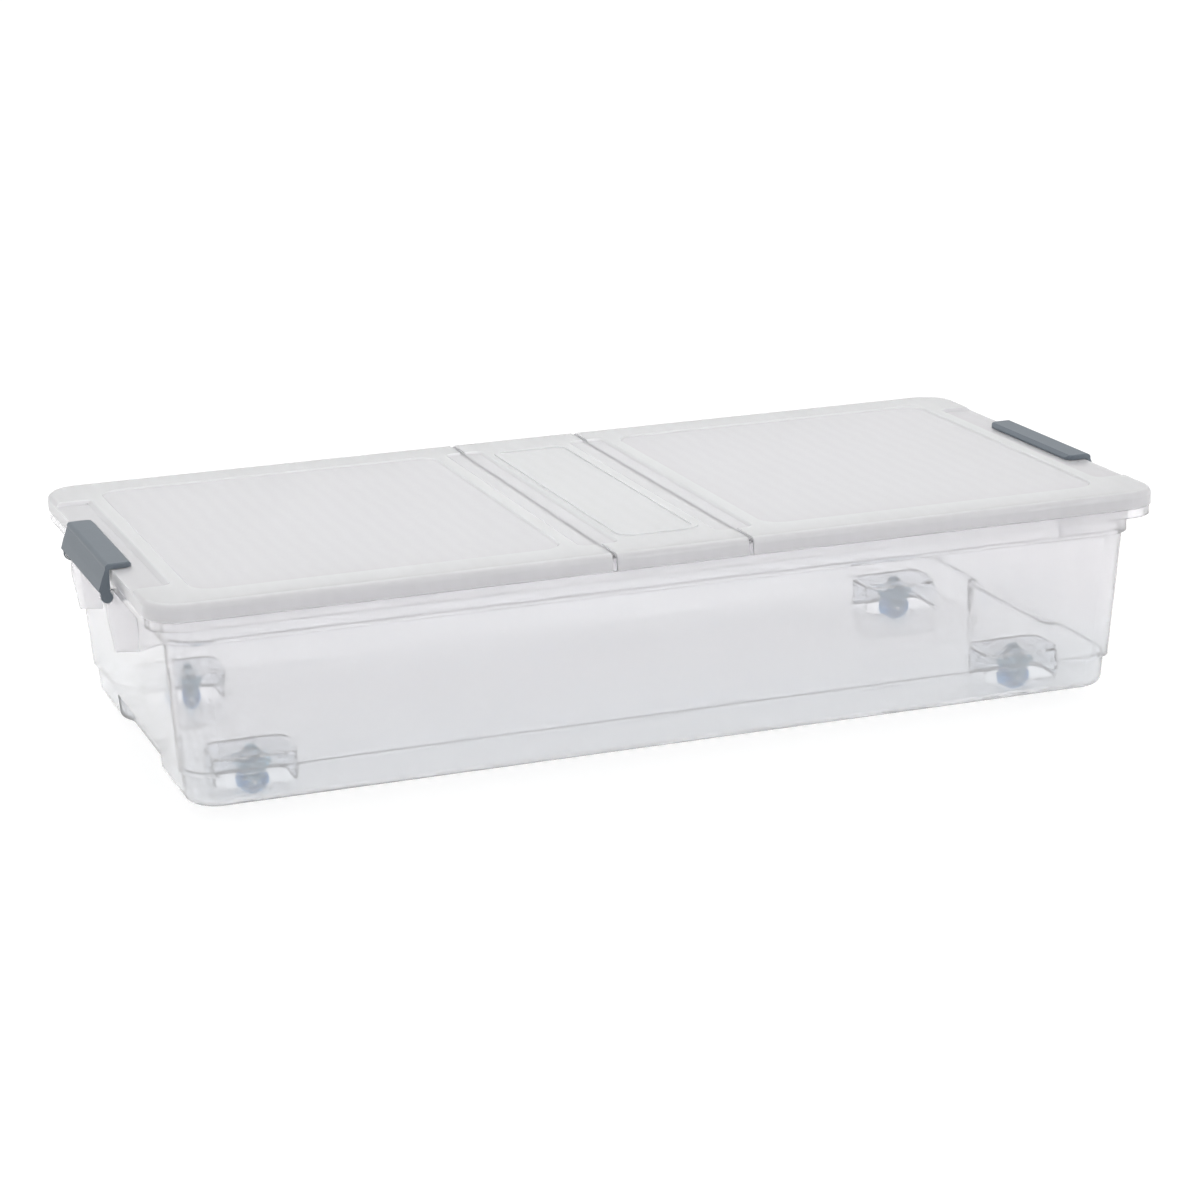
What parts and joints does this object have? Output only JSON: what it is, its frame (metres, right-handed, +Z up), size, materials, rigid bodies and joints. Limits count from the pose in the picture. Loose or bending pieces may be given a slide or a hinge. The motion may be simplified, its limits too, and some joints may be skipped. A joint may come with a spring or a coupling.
{
  "type": "under bed box",
  "caption": "Long low translucent storage box on wheels, with a folding two-flap lid and a grey snap clip at each end.",
  "frame": {"origin": "centre of the box in plan, on the floor that its wheels stand on", "axes": "+X along the length to the right end, +Y across to the back, +Z up"},
  "size_m": [0.8212, 0.4, 0.1764],
  "materials": {
    "clear_polypropylene": "frosted, satin",
    "grey_clip": "satin",
    "wheel": "satin",
    "fork": "satin",
    "axle_steel": "bright drawn"
  },
  "bodies": {
    "tub_body": {"tub": "clear_polypropylene", "front_left_axle": "axle_steel", "front_left_wheel_fork": "fork", "front_right_axle": "axle_steel", "front_right_wheel_fork": "fork", "back_left_axle": "axle_steel", "back_left_wheel_fork": "fork", "back_right_axle": "axle_steel", "back_right_wheel_fork": "fork"},
    "lid_centre": {"lid_centre_panel": "clear_polypropylene", "left_hinge_web": "clear_polypropylene", "right_hinge_web": "clear_polypropylene"},
    "lid_left": {"left_lid_flap": "clear_polypropylene"},
    "lid_right": {"right_lid_flap": "clear_polypropylene"},
    "clip_left": {"left_clip": "grey_clip"},
    "clip_right": {"right_clip": "grey_clip"},
    "wheel_front_left": {"front_left_wheel": "wheel"},
    "wheel_front_right": {"front_right_wheel": "wheel"},
    "wheel_back_left": {"back_left_wheel": "wheel"},
    "wheel_back_right": {"back_right_wheel": "wheel"}
  },
  "joints": [
    {"name": "lid_lift", "type": "slide", "parent": "tub_body", "child": "lid_centre", "axis": [0, 0, 1], "range_m": [0, 0.24]},
    {"name": "left_flap_hinge", "type": "hinge", "parent": "lid_centre", "child": "lid_left", "pos_m": [-0.054, 0, 0.1735], "axis": [0, 1, 0], "range_deg": [0, 95]},
    {"name": "right_flap_hinge", "type": "hinge", "parent": "lid_centre", "child": "lid_right", "pos_m": [0.054, 0, 0.1735], "axis": [0, -1, 0], "range_deg": [0, 95]},
    {"name": "left_clip_hinge", "type": "hinge", "parent": "tub_body", "child": "clip_left", "pos_m": [-0.4045, 0, 0.1515], "axis": [0, -1, 0], "range_deg": [0, 120]},
    {"name": "right_clip_hinge", "type": "hinge", "parent": "tub_body", "child": "clip_right", "pos_m": [0.4045, 0, 0.1515], "axis": [0, 1, 0], "range_deg": [0, 120]},
    {"name": "front_left_wheel_spin", "type": "hinge", "parent": "tub_body", "child": "wheel_front_left", "pos_m": [-0.314, -0.113, 0.012], "axis": [0, 1, 0], "continuous": true},
    {"name": "front_right_wheel_spin", "type": "hinge", "parent": "tub_body", "child": "wheel_front_right", "pos_m": [0.314, -0.113, 0.012], "axis": [0, 1, 0], "continuous": true},
    {"name": "back_left_wheel_spin", "type": "hinge", "parent": "tub_body", "child": "wheel_back_left", "pos_m": [-0.314, 0.113, 0.012], "axis": [0, 1, 0], "continuous": true},
    {"name": "back_right_wheel_spin", "type": "hinge", "parent": "tub_body", "child": "wheel_back_right", "pos_m": [0.314, 0.113, 0.012], "axis": [0, 1, 0], "continuous": true}
  ]
}
